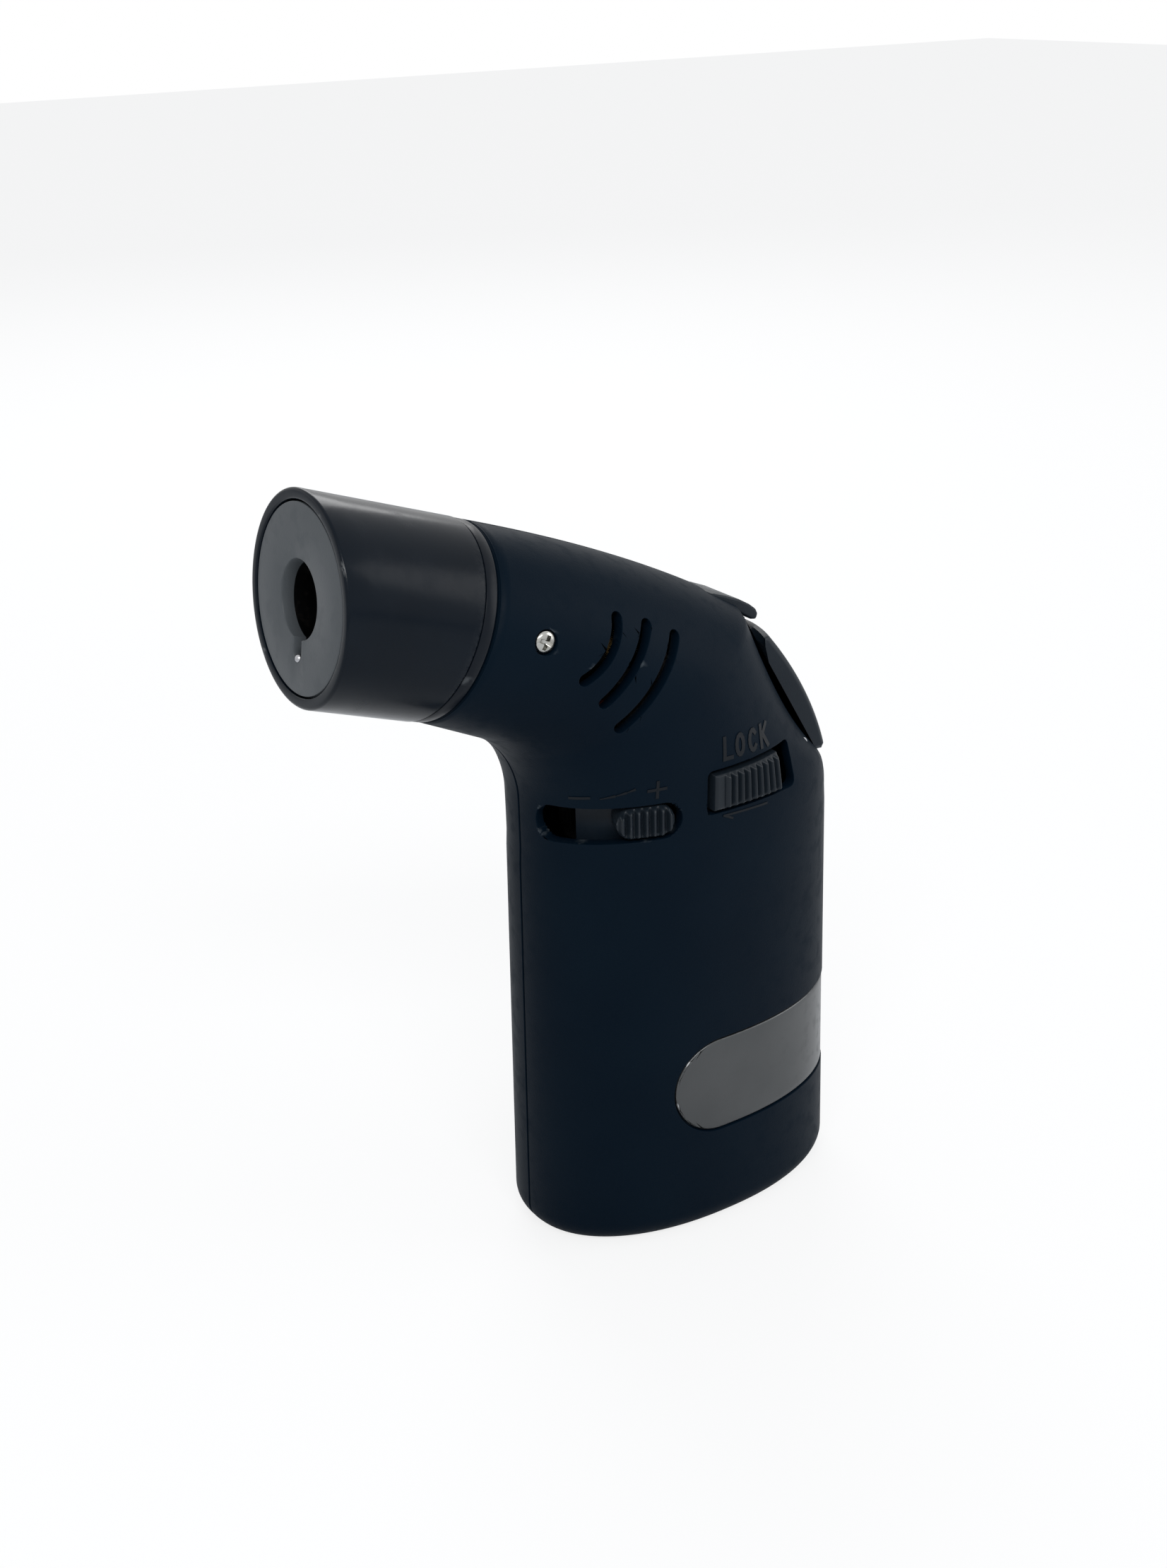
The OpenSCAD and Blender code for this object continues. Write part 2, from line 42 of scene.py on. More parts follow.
# ---------------------------------------------------------------- camera
# Three-quarter view from the flame end and above, close enough for perspective to show.
turn, rise, roll = math.radians(-32.908), math.radians(23.346), math.radians(-1.488)
back = Vector((math.sin(turn) * math.cos(rise), -math.cos(turn) * math.cos(rise), math.sin(rise)))
level = Vector((math.cos(turn), math.sin(turn), 0))
above = back.cross(level)
side = math.cos(roll) * level + math.sin(roll) * above
top = -math.sin(roll) * level + math.cos(roll) * above
aim = -0.015532 * level + Vector((0, 0, 0.083701))
spot = aim + 0.3606 * back
cam_data = bpy.data.cameras.new("camera")
cam_data.sensor_fit = "VERTICAL"
cam_data.sensor_height = 36
cam_data.lens = 36 * 2790.6 / 2219
camera = bpy.data.objects.new("camera", cam_data)
camera.matrix_world = Matrix((
    (side.x, top.x, back.x, spot.x),
    (side.y, top.y, back.y, spot.y),
    (side.z, top.z, back.z, spot.z),
    (0, 0, 0, 1)))
scene.collection.objects.link(camera)
scene.camera = camera
scene.view_settings.view_transform = "Standard"


# ---------------------------------------------------------------- studio
# Pale floor and an even white surround; three soft boxes give the long streaks on the barrel.
def lamp(name, place, towards, size, power, tall=None):
    data = bpy.data.lights.new(name, "AREA")
    data.shape = "RECTANGLE"
    data.size, data.size_y, data.energy = size, tall or size, power
    obj = bpy.data.objects.new(name, data)
    obj.location = place
    obj.rotation_euler = (Vector(towards) - Vector(place)).to_track_quat("-Z", "Y").to_euler()
    scene.collection.objects.link(obj)


lamp("key_box", (-0.45, -0.75, 0.85), (0, 0, 0.08), 0.9, 8, 0.2)
lamp("fill_box", (0.9, -0.55, 0.35), (0, 0, 0.08), 0.6, 3.5, 0.9)
lamp("rim_box", (0.35, 0.8, 0.7), (0, 0, 0.1), 0.7, 4, 0.5)

world = bpy.data.worlds.new("surround")
scene.world = world
world.use_nodes = True
wn, wl = world.node_tree.nodes, world.node_tree.links
wn.clear()
w_out = wn.new("ShaderNodeOutputWorld")
w_mix = wn.new("ShaderNodeMixShader")
w_seen = wn.new("ShaderNodeBackground")
w_lit = wn.new("ShaderNodeBackground")
w_ray = wn.new("ShaderNodeLightPath")
w_max = wn.new("ShaderNodeMath")
w_max.operation = "MAXIMUM"
w_seen.inputs["Color"].default_value = (1, 1, 1, 1)
w_lit.inputs["Color"].default_value = (0.93, 0.96, 1, 1)
w_lit.inputs["Strength"].default_value = 0.55
w_any = wn.new("ShaderNodeMath")
w_any.operation = "MAXIMUM"
wl.new(w_ray.outputs["Is Camera Ray"], w_max.inputs[0])
wl.new(w_ray.outputs["Is Transmission Ray"], w_max.inputs[1])
wl.new(w_max.outputs[0], w_any.inputs[0])
wl.new(w_ray.outputs["Is Glossy Ray"], w_any.inputs[1])
wl.new(w_any.outputs[0], w_mix.inputs[0])
wl.new(w_lit.outputs[0], w_mix.inputs[1])
wl.new(w_seen.outputs[0], w_mix.inputs[2])
wl.new(w_mix.outputs[0], w_out.inputs[0])

bm = bmesh.new()
bmesh.ops.create_grid(bm, x_segments=1, y_segments=1, size=3)
floor_mesh = bpy.data.meshes.new("floor")
bm.to_mesh(floor_mesh)
bm.free()
floor = bpy.data.objects.new("floor", floor_mesh)
floor.location.z = -0.0002
scene.collection.objects.link(floor)
floor_mat = bpy.data.materials.new("pale_floor")
floor_mat.use_nodes = True
fn, fl = floor_mat.node_tree.nodes, floor_mat.node_tree.links
fn["Principled BSDF"].inputs["Base Color"].default_value = (0.86, 0.87, 0.88, 1)
fn["Principled BSDF"].inputs["Roughness"].default_value = 0.9
f_mix = fn.new("ShaderNodeMixShader")
f_seen = fn.new("ShaderNodeEmission")
f_ray = fn.new("ShaderNodeLightPath")
f_part = fn.new("ShaderNodeMath")
f_part.operation = "MULTIPLY"
f_part.inputs[1].default_value = 0.8
fl.new(f_ray.outputs["Is Camera Ray"], f_part.inputs[0])
fl.new(f_part.outputs[0], f_mix.inputs[0])
fl.new(fn["Principled BSDF"].outputs[0], f_mix.inputs[1])
fl.new(f_seen.outputs[0], f_mix.inputs[2])
fl.new(f_mix.outputs[0], fn["Material Output"].inputs[0])
floor_mesh.materials.append(floor_mat)


# ---------------------------------------------------------------- handle shells
# Two moulded halves of soft-touch black plastic, screwed together along the middle of the
# torch. Oval rings run from the foot up the handle and lean over into the barrel.
MM = 0.001
FOOT_W, FOOT_D, NECK_Z, NECK_SHARE = 66.5, 41.2, 88.5, 0.964
FOOT_ROUND, WALL = 5.0, 2.2
BARREL_R, TILT, BARREL_Z = 17.0, math.radians(19.1), 108.3
SEAM_S, SEAM_LEAN = 48.4, math.radians(3.9)
BEND_R, BEND_A = 16.4, math.radians(64)
NECK_X, NECK_Y = FOOT_W / 2 * NECK_SHARE, FOOT_D / 2 * NECK_SHARE


def curve(a, b, c, d, t):
    return tuple((1 - t) ** 3 * p + 3 * t * (1 - t) ** 2 * q + 3 * t * t * (1 - t) * r + t ** 3 * s
                 for p, q, r, s in zip(a, b, c, d))


def barrel_point(s, up):
    return (-s * math.cos(TILT) + up * math.sin(TILT), BARREL_Z + s * math.sin(TILT) + up * math.cos(TILT))


lean_up = BARREL_R * math.tan(SEAM_LEAN)
seam_top = barrel_point(SEAM_S - lean_up, BARREL_R - 0.1)
seam_low = barrel_point(SEAM_S + lean_up, -BARREL_R + 0.1)
BAY_LIP, BAY_REST = (12.5, 116.6), (NECK_X - 2.4, 87.0)


def back_rail(i):
    if i <= 4:
        return curve((NECK_X, 79.5), (NECK_X, 83), (NECK_X - 0.6, 85), BAY_REST, i / 4)
    if i <= 12:
        return curve(BAY_REST, (21.5, 95.2), (16.8, 106), BAY_LIP, (i - 4) / 8)
    return curve(BAY_LIP, (-2, 125.4), (-20, 133.2), seam_top, (i - 12) / 9)


def front_rail(i):
    if i <= 4:
        return (-NECK_X, 79.5 + (NECK_Z - 79.5) * i / 4)
    a = BEND_A * (min(i, 17) - 4) / 13
    p = (-NECK_X - BEND_R * (1 - math.cos(a)), NECK_Z + BEND_R * math.sin(a))
    if i <= 17:
        return p
    return tuple(p[k] + (seam_low[k] - p[k]) * (i - 17) / 4 for k in (0, 1))


def oval(a, b, half_depth, power, inset, n):
    mid = ((a[0] + b[0]) / 2, (a[1] + b[1]) / 2)
    half = ((b[0] - a[0]) / 2, (b[1] - a[1]) / 2)
    k = 1 - inset / math.hypot(*half)
    ring = []
    for j in range(n):
        c, s = math.cos(2 * math.pi * j / n), math.sin(2 * math.pi * j / n)
        u = math.copysign(abs(c) ** (2 / power), c) * k
        v = math.copysign(abs(s) ** (2 / power), s) * (half_depth - inset)
        ring.append(Vector((mid[0] + half[0] * u, v, mid[1] + half[1] * u)) * MM)
    return ring


def handle_ring(z, inset, n):
    k = 1 - (1 - NECK_SHARE) * z / NECK_Z
    return oval((-FOOT_W / 2 * k, z), (FOOT_W / 2 * k, z), FOOT_D / 2 * k, 2.2, inset, n)


def head_ring(i, inset, n):
    t = max(0.0, i - 8) / 13
    depth = NECK_Y + (BARREL_R - 0.1 - NECK_Y) * t ** 1.6
    return oval(front_rail(i), back_rail(i), depth, 2.2 - 0.2 * t, inset, n)


def body_rings(inset, z0, rounding, n=144, fine=3):
    rings = []
    for q in range(4 * fine):
        a = math.pi / 2 * q / (4 * fine)
        rings.append(handle_ring(z0 + rounding * (1 - math.cos(a)), inset + rounding * (1 - math.sin(a)), n))
    low = z0 + rounding
    rings += [handle_ring(low + (79.5 - low) * q / 24, inset, n) for q in range(24)]
    rings += [head_ring(i / fine, inset, n) for i in range(21 * fine + 1)]
    return rings


def piece(name, verts, faces):
    mesh = bpy.data.meshes.new(name)
    mesh.from_pydata(verts, [], faces)
    obj = bpy.data.objects.new(name, mesh)
    scene.collection.objects.link(obj)
    b = bmesh.new()
    b.from_mesh(mesh)
    bmesh.ops.remove_doubles(b, verts=b.verts, dist=1e-7)
    bmesh.ops.recalc_face_normals(b, faces=b.faces)
    b.to_mesh(mesh)
    b.free()
    return obj


def skin(name, rings, closed=True):
    n = len(rings[0])
    faces = [(i * n + j, i * n + (j + 1) % n, (i + 1) * n + (j + 1) % n, (i + 1) * n + j)
             for i in range(len(rings) - 1) for j in range(n)]
    if closed:
        faces += [tuple(reversed(range(n))), tuple((len(rings) - 1) * n + j for j in range(n))]
    return piece(name, [p for r in rings for p in r], faces)


def drop(*objs):
    for o in objs:
        bpy.data.objects.remove(o)


def merge(objs):
    b = bmesh.new()
    for o in objs:
        m = o.data.copy()
        m.transform(o.matrix_world)
        b.from_mesh(m)
    mesh = bpy.data.meshes.new("merged")
    b.to_mesh(mesh)
    b.free()
    first = objs[0]
    first.data = mesh
    first.matrix_world = Matrix()
    drop(*objs[1:])
    return first


def settle(obj):
    bpy.context.view_layer.update()
    deps = bpy.context.evaluated_depsgraph_get()
    mesh = bpy.data.meshes.new_from_object(obj.evaluated_get(deps))
    obj.modifiers.clear()
    obj.data = mesh


def shape_with(obj, tool, how):
    mod = obj.modifiers.new("shape", "BOOLEAN")
    mod.operation, mod.solver, mod.object = how, "EXACT", tool
    settle(obj)


def prism(name, outline, y0, y1):
    """Closed outline of (x, z) in millimetres, pushed through from y0 to y1."""
    n = len(outline)
    verts = [Vector((x, y, z)) * MM for y in (y0, y1) for x, z in outline]
    faces = [tuple(range(n)), tuple(reversed(range(n, 2 * n)))]
    faces += [(j, j + n, (j + 1) % n + n, (j + 1) % n) for j in range(n)]
    return piece(name, verts, faces)


def arc(x, z, r, a0, a1, n):
    return [(x + r * math.cos(math.radians(a0 + (a1 - a0) * q / n)),
             z + r * math.sin(math.radians(a0 + (a1 - a0) * q / n))) for q in range(n + 1)]


def vent_outline(cx, cz, r, a0, a1, half):
    """A slot of even width along an arc, with round ends."""
    e0 = (cx + r * math.cos(math.radians(a0)), cz + r * math.sin(math.radians(a0)))
    e1 = (cx + r * math.cos(math.radians(a1)), cz + r * math.sin(math.radians(a1)))
    return (arc(cx, cz, r + half, a0, a1, 18) + arc(*e1, half, a1, a1 - 180, 10)[1:-1]
            + arc(cx, cz, r - half, a1, a0, 18) + arc(*e0, half, a0 + 180, a0, 10)[1:-1])


def swept_slot(name, bearing0, bearing1, half, r0, r1, z):
    """The flame lever's slot: part of a drum about the valve, with round ends."""
    outline = ([(bearing0 - math.degrees(half * math.sin(math.pi * q / 16) / 24), z + half * math.cos(math.pi * q / 16))
                for q in range(17)] + [(bearing0 + (bearing1 - bearing0) * q / 24, z - half) for q in range(1, 24)]
               + [(bearing1 + math.degrees(half * math.sin(math.pi * q / 16) / 24), z - half * math.cos(math.pi * q / 16))
                  for q in range(17)] + [(bearing1 + (bearing0 - bearing1) * q / 24, z + half) for q in range(1, 24)])
    n = len(outline)
    verts = [Vector((VALVE[0] + r * math.cos(math.radians(a)), VALVE[1] + r * math.sin(math.radians(a)), h)) * MM
             for r in (r0, r1) for a, h in outline]
    faces = [tuple(range(n)), tuple(reversed(range(n, 2 * n)))]
    faces += [(j, j + n, (j + 1) % n + n, (j + 1) % n) for j in range(n)]
    return piece(name, verts, faces)


VALVE, FLAME_Z, LOCK_Z = (-9.0, 5.0), 86.4, 89.6
PLATE_X, PLATE_Z, PLATE_H = -3.0, 30.7, 18.8
SCREW = (-36.0, 123.0)


def rounded_box(x0, x1, z0, z1, r, n=6):
    return (arc(x1 - r, z1 - r, r, 0, 90, n) + arc(x0 + r, z1 - r, r, 90, 180, n)
            + arc(x0 + r, z0 + r, r, 180, 270, n) + arc(x1 - r, z0 + r, r, 270, 360, n))


def plate_block(grow, far):
    half = PLATE_H / 2 + grow
    outline = arc(PLATE_X, PLATE_Z, half, 90, 270, 40) + [(60, PLATE_Z - half), (60, PLATE_Z + half)]
    return prism("plate_block", outline, -far, far)


def band(grow, inner_inset, outer_inset):
    """The layer of the handle's wall that the name plate lies in."""
    z0, z1 = PLATE_Z - PLATE_H / 2 - grow - 0.4, PLATE_Z + PLATE_H / 2 + grow + 0.4
    steps = [z0 + (z1 - z0) * q / 12 for q in range(13)]
    outer = skin("band", [handle_ring(z, outer_inset, 192) for z in steps])
    inner = skin("band_core", [handle_ring(z, inner_inset, 192) for z in [z0 - 1] + steps[1:-1] + [z1 + 1]])
    shape_with(outer, inner, "DIFFERENCE")
    block = plate_block(grow, 40)
    shape_with(outer, block, "INTERSECT")
    drop(inner, block)
    return outer


def keep_half(obj, sign, gap):
    b = bmesh.new()
    b.from_mesh(obj.data)
    geom = b.verts[:] + b.edges[:] + b.faces[:]
    cut = bmesh.ops.bisect_plane(b, geom=geom, plane_co=(0, sign * gap * MM, 0), plane_no=(0, -sign, 0),
                                 clear_outer=True, dist=1e-7)
    rim = [e for e in cut["geom_cut"] if isinstance(e, bmesh.types.BMEdge)]
    bmesh.ops.triangle_fill(b, edges=rim, use_beauty=True)
    bmesh.ops.recalc_face_normals(b, faces=b.faces)
    b.to_mesh(obj.data)
    b.free()


def round_edges(obj, width, steps=2, angle=32):
    mod = obj.modifiers.new("edge", "BEVEL")
    mod.width, mod.segments = width * MM, steps
    mod.limit_method, mod.angle_limit = "ANGLE", math.radians(angle)
    mod.use_clamp_overlap = False
    mod.miter_outer = "MITER_ARC"
    settle(obj)


def smooth(obj, like=(), angle=32, reach=0.02):
    """Smooth shading, with sharp folds kept; where a face lies on a form in like, it takes that form's normals."""
    mesh = obj.data
    b = bmesh.new()
    b.from_mesh(mesh)
    for f in b.faces:
        f.smooth = True
    for e in b.edges:
        e.smooth = len(e.link_faces) == 2 and e.calc_face_angle(0) < math.radians(angle)
    b.to_mesh(mesh)
    b.free()
    if not like:
        return
    trees = []
    for form in like:
        m = form.data
        trees.append((BVHTree.FromPolygons([v.co for v in m.vertices], [p.vertices for p in m.polygons]), m))
    normals = [Vector((0, 0, 0))] * len(mesh.loops)
    for p in mesh.polygons:
        for tree, m in trees:
            hit = tree.find_nearest(p.center, reach * MM)
            if hit[0] is None or abs(hit[1].dot(p.normal)) < 0.97:
                continue
            flip = -1 if hit[1].dot(p.normal) < 0 else 1
            for k in p.loop_indices:
                at = tree.find_nearest(mesh.vertices[mesh.loops[k].vertex_index].co)
                q = m.polygons[at[2]]
                total = Vector()
                for v in q.vertices:
                    total += m.vertices[v].normal / ((m.vertices[v].co - at[0]).length + 1e-6)
                normals[k] = (flip * total).normalized()
            break
    mesh.normals_split_custom_set(normals)



def socket_group(name, inputs, outputs):
    group = bpy.data.node_groups.new(name, "ShaderNodeTree")
    for label, kind, value in inputs:
        socket = group.interface.new_socket(label, in_out="INPUT", socket_type=kind)
        if value is not None:
            socket.default_value = value
    for label, kind in outputs:
        group.interface.new_socket(label, in_out="OUTPUT", socket_type=kind)
    return group, group.nodes.new("NodeGroupInput"), group.nodes.new("NodeGroupOutput")


def add(tree, kind, settings=(), **inputs):
    """A node with its settings and inputs; an input given as a socket is linked to it."""
    node = tree.nodes.new(kind)
    for key, value in dict(settings).items():
        setattr(node, key, value)
    for key, value in inputs.items():
        spot = node.inputs[int(key[1:]) if key[1:].isdigit() else key.replace("_", " ")]
        if isinstance(value, bpy.types.NodeSocket):
            tree.links.new(value, spot)
        else:
            spot.default_value = value
    return node


# Moulding grain: fine even bumps, with a few larger soft ones.
moulding_grain, g_in, g_out = socket_group(
    "moulding_grain", [("Grain Scale", "NodeSocketFloat", 2500.0)], [("Height", "NodeSocketFloat")])
g_at = add(moulding_grain, "ShaderNodeTexCoord")
g_fine = add(moulding_grain, "ShaderNodeTexNoise", Vector=g_at.outputs["Object"], Scale=g_in.outputs[0], Detail=3.0)
g_cells = add(moulding_grain, "ShaderNodeTexVoronoi", Vector=g_at.outputs["Object"], Scale=g_in.outputs[0])
g_mix = add(moulding_grain, "ShaderNodeMath", {"operation": "MULTIPLY_ADD"},
            _0=g_fine.outputs["Fac"], _1=0.7, _2=g_cells.outputs["Distance"])
moulding_grain.links.new(g_mix.outputs[0], g_out.inputs[0])

# Handling marks: broad patches where hands polish the surface, and small smudges over them.
handling_marks, h_in, h_out = socket_group(
    "handling_marks", [("Patch Scale", "NodeSocketFloat", 45.0), ("Smudge Scale", "NodeSocketFloat", 320.0)],
    [("Patches", "NodeSocketFloat"), ("Smudges", "NodeSocketFloat")])
h_at = add(handling_marks, "ShaderNodeTexCoord")
h_big = add(handling_marks, "ShaderNodeTexNoise", Vector=h_at.outputs["Object"], Scale=h_in.outputs[0], Detail=2.0)
h_small = add(handling_marks, "ShaderNodeTexNoise", Vector=h_at.outputs["Object"], Scale=h_in.outputs[1], Detail=5.0)
h_patch = add(handling_marks, "ShaderNodeMapRange", Value=h_big.outputs["Fac"], _1=0.35, _2=0.68)
h_smudge = add(handling_marks, "ShaderNodeMapRange", Value=h_small.outputs["Fac"], _1=0.5, _2=0.75)
handling_marks.links.new(h_patch.outputs[0], h_out.inputs[0])
handling_marks.links.new(h_smudge.outputs[0], h_out.inputs[1])

# Worn edges: outward folds, broken up so that the wear comes and goes along them.
worn_edges, e_in, e_out = socket_group(
    "worn_edges", [("Sharpness", "NodeSocketFloat", 0.56), ("Break Scale", "NodeSocketFloat", 900.0)],
    [("Wear", "NodeSocketFloat")])
e_at = add(worn_edges, "ShaderNodeTexCoord")
e_shape = add(worn_edges, "ShaderNodeNewGeometry")
e_top = add(worn_edges, "ShaderNodeMath", {"operation": "ADD"}, _0=e_in.outputs[0], _1=0.1)
e_fold = add(worn_edges, "ShaderNodeMapRange", Value=e_shape.outputs["Pointiness"],
             _1=e_in.outputs[0], _2=e_top.outputs[0])
e_noise = add(worn_edges, "ShaderNodeTexNoise", Vector=e_at.outputs["Object"], Scale=e_in.outputs[1], Detail=3.0)
e_break = add(worn_edges, "ShaderNodeMapRange", Value=e_noise.outputs["Fac"], _1=0.38, _2=0.62)
e_wear = add(worn_edges, "ShaderNodeMath", {"operation": "MULTIPLY"}, _0=e_fold.outputs[0], _1=e_break.outputs[0])
worn_edges.links.new(e_wear.outputs[0], e_out.inputs[0])


def group_in(tree, group, **inputs):
    return add(tree, "ShaderNodeGroup", {"node_tree": group}, **inputs)


def blend_colour(tree, share, one, two):
    mix = add(tree, "ShaderNodeMix", {"data_type": "RGBA"})
    for value, spot in ((share, mix.inputs["Factor"]), (one, mix.inputs[6]), (two, mix.inputs[7])):
        if isinstance(value, bpy.types.NodeSocket):
            tree.links.new(value, spot)
        else:
            spot.default_value = value if isinstance(value, float) else (*value, 1)
    return mix.outputs[2]


def plastic(name, colour, rubbed, worn, rough, grain, bump, specular=0.5, sharp=0.56):
    """Moulded plastic: base colour, its rubbed and worn tints, low and high roughness, grain scale and bump."""
    mat = bpy.data.materials.new(name)
    mat.use_nodes = True
    tree = mat.node_tree
    shader = tree.nodes["Principled BSDF"]
    shader.inputs["Specular IOR Level"].default_value = specular
    marks = group_in(tree, handling_marks)
    wear = group_in(tree, worn_edges, Sharpness=sharp)
    skin_grain = group_in(tree, moulding_grain, Grain_Scale=grain)
    tone = blend_colour(tree, marks.outputs["Patches"], colour, rubbed)
    tone = blend_colour(tree, wear.outputs["Wear"], tone, worn)
    tree.links.new(tone, shader.inputs["Base Color"])
    sheen = add(tree, "ShaderNodeMapRange", Value=marks.outputs["Smudges"], _3=rough[0], _4=rough[1])
    tree.links.new(sheen.outputs[0], shader.inputs["Roughness"])
    bumps = add(tree, "ShaderNodeBump", Height=skin_grain.outputs[0], Strength=bump, Distance=0.00004)
    tree.links.new(bumps.outputs[0], shader.inputs["Normal"])
    return mat


soft_black = plastic("soft_touch_black", (0.0008, 0.0042, 0.0092), (0.0012, 0.0052, 0.0106), (0.03, 0.038, 0.046),
                     (0.46, 0.58), 2600.0, 0.25, specular=0.04)


VENT_ARCS = [(-33.8, 127.5, 12.9, -17, -70), (-47.7, 141, 37.5, -31.5, -54), (-50.6, 144.1, 47.7, -32.5, -54)]
BAY = [(4, 107), (11.4, 117.6), (20, 125), (45, 110), (45, 86.2), (22, 83.6), (15, 84), (8, 96)]
BAY_WIDE = 18.0
BOSSES = [(24, 75.2, 8.5), (-24.5, 75, 10), (-2, 113.8, 13.8), (27.8, 12, 7.5), (-27.8, 12, 7.5)]


def disc_outline(x, z, r, n=32):
    return arc(x, z, r, 0, 360, n)[:-1]


body_form = skin("body_form", body_rings(0, 0, FOOT_ROUND))
bore_form = skin("bore_form", body_rings(WALL, WALL, FOOT_ROUND - WALL, 96, 2))
bay_block = prism("bay_block", BAY, -BAY_WIDE / 2, BAY_WIDE / 2)

shell = body_form.copy()
shell.data = body_form.data.copy()
scene.collection.objects.link(shell)

bay_sides = merge([prism("bay_side", [(12, 104), (12.5, 118), (24, 118), (36, 90), (30, 86), (19, 84), (17.5, 92)],
                         m * (BAY_WIDE / 2 + 0.9) - 0.9, m * (BAY_WIDE / 2 + 0.9) + 0.9) for m in (-1, 1)])
posts = merge([prism("post", disc_outline(x, z, 3.6), 3, 25) for x, z, _ in BOSSES])
inside = merge([bay_sides, posts])
core = bore_form.copy()
core.data = bore_form.data.copy()
scene.collection.objects.link(core)
seam_bore = skin("seam_bore", [[Vector((*p[:1], 0, p[1])) * MM + Vector((math.sin(TILT) * math.cos(a), math.sin(a),
                 math.cos(TILT) * math.cos(a))) * 14.9 * MM for a in [2 * math.pi * j / 96 for j in range(96)]]
                 for p in (barrel_point(45.4, 0), barrel_point(56, 0))])
shape_with(core, seam_bore, "UNION")
drop(seam_bore)
shape_with(core, inside, "DIFFERENCE")
shape_with(shell, core, "DIFFERENCE")
drop(core, inside)

shape_with(shell, bay_block, "DIFFERENCE")
notch = prism("bridge_notch", [(5, 116), (5, 130), (20, 130), (14, 112)], -5.55, 5.55)
shape_with(shell, notch, "DIFFERENCE")
foot_rim = [Vector((x, y, z)) * MM for z in (-1, 3) for x, y in arc(8, 0, 12, -90, 90, 32) + arc(-8, 0, 12, 90, 270, 32)]
half = len(foot_rim) // 2
foot_hole = skin("foot_hole", [foot_rim[:half], foot_rim[half:]])
recess = band(0.35, 0.95, -1)
vent_blocks = [prism("vent", vent_outline(*vent, 1.05), y0, y1)
               for vent in VENT_ARCS for y0, y1 in ((-30, -13), (13, 30))]
wells = [prism("well", disc_outline(*SCREW, 2.1), *((16.3, 30) if m > 0 else (-30, -16.3))) for m in (-1, 1)]
wells += [prism("well", disc_outline(x, z, 2.2), y, 30) for x, z, y in BOSSES]
slots = [swept_slot("flame_slot", 211.3, 257.8, 3.4, 18, 32, FLAME_Z),
         prism("lock_slot", rounded_box(-5.8, 15, LOCK_Z - 4.1, LOCK_Z + 4.1, 1.1), -30, -12)]
cuts = merge([foot_hole, recess] + vent_blocks + wells + slots)
shape_with(shell, cuts, "DIFFERENCE")
drop(cuts, notch)

left_half = shell
left_half.name = left_half.data.name = "left_half"
right_half = shell.copy()
right_half.data = shell.data.copy()
right_half.name = right_half.data.name = "right_half"
scene.collection.objects.link(right_half)
SEAM_GAP = 0.2
keep_half(left_half, -1, SEAM_GAP)
keep_half(right_half, 1, SEAM_GAP)
for half_shell, node in ((left_half, "left_shell"), (right_half, "right_shell")):
    round_edges(half_shell, 0.16)
    smooth(half_shell, (body_form,))
    half_shell.data.materials.append(soft_black)
    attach(half_shell, "housing")
    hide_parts(node)


# ---------------------------------------------------------------- barrel shroud
# Pressed steel tube in glossy black enamel, with its lip rolled over and cut on the slant at
# the flame end. A narrower sleeve behind it runs back inside the shells, where two screws hold it.
MOUTH_S, MOUTH_LEAN, BARREL_WALL = 74.6, math.radians(12), 1.8


def turned(name, profile, n=160):
    """A closed profile of (distance along the barrel, radius, lean in degrees) turned about its axis."""
    rings = []
    for j in range(n):
        a = 2 * math.pi * j / n
        ring = []
        for s, r, lean in profile:
            x, z = barrel_point(s + r * math.cos(a) * math.tan(math.radians(lean)), r * math.cos(a))
            ring.append(Vector((x, r * math.sin(a), z)) * MM)
        rings.append(ring)
    m = len(profile)
    faces = [(j * m + k, j * m + (k + 1) % m, (j + 1) % n * m + (k + 1) % m, (j + 1) % n * m + k)
             for j in range(n) for k in range(m)]
    return piece(name, [p for r in rings for p in r], faces)


def corner(s, r, ds, dr, lean, n=5):
    """A rounded corner of a profile: starts ds along the barrel from the corner, ends dr out from it."""
    return [(s + ds * (1 - math.sin(math.pi / 2 * q / n)), r + dr * (1 - math.cos(math.pi / 2 * q / n)), lean)
            for q in range(n + 1)]


def finish(obj, body, node, mat, folds=32):
    smooth(obj, angle=folds)
    obj.data.materials.clear()
    obj.data.materials.append(mat)
    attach(obj, body)
    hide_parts(*node)
    return obj


shroud = turned("barrel_tube", [(51.2, 16.6, -3.9), (51.27, 16.85, -3.9), (51.5, 17, -3.9), (57, 17, 0), (64, 17, 5),
                                (70, 17, 9)] + corner(MOUTH_S, 17, -0.55, -0.55, 12)
                + [(s, r, 12) for s, r, _ in reversed(corner(MOUTH_S, 15.2, -0.3, 0.3, 12, 3))]
                + [(70, 15.2, 9), (54.4, 15.2, 0), (54.4, 12.9, 0), (28.6, 12.9, 0), (28.6, 14.3, 0), (53, 14.3, 0),
                   (53, 15.2, 0), (51.2, 15.4, -3.9)])
enamel = bpy.data.materials.new("black_enamel")
enamel.use_nodes = True
tree = enamel.node_tree
shader = tree.nodes["Principled BSDF"]
shader.inputs["Specular IOR Level"].default_value = 0.12
marks = group_in(tree, handling_marks, Patch_Scale=70.0, Smudge_Scale=260.0)
wear = group_in(tree, worn_edges, Sharpness=0.535, Break_Scale=1400.0)
orange_peel = group_in(tree, moulding_grain, Grain_Scale=900.0)
tone = blend_colour(tree, marks.outputs["Patches"], (0.0010, 0.0034, 0.0070), (0.0016, 0.0044, 0.0086))
tone = blend_colour(tree, wear.outputs["Wear"], tone, (0.09, 0.095, 0.1))
tree.links.new(tone, shader.inputs["Base Color"])
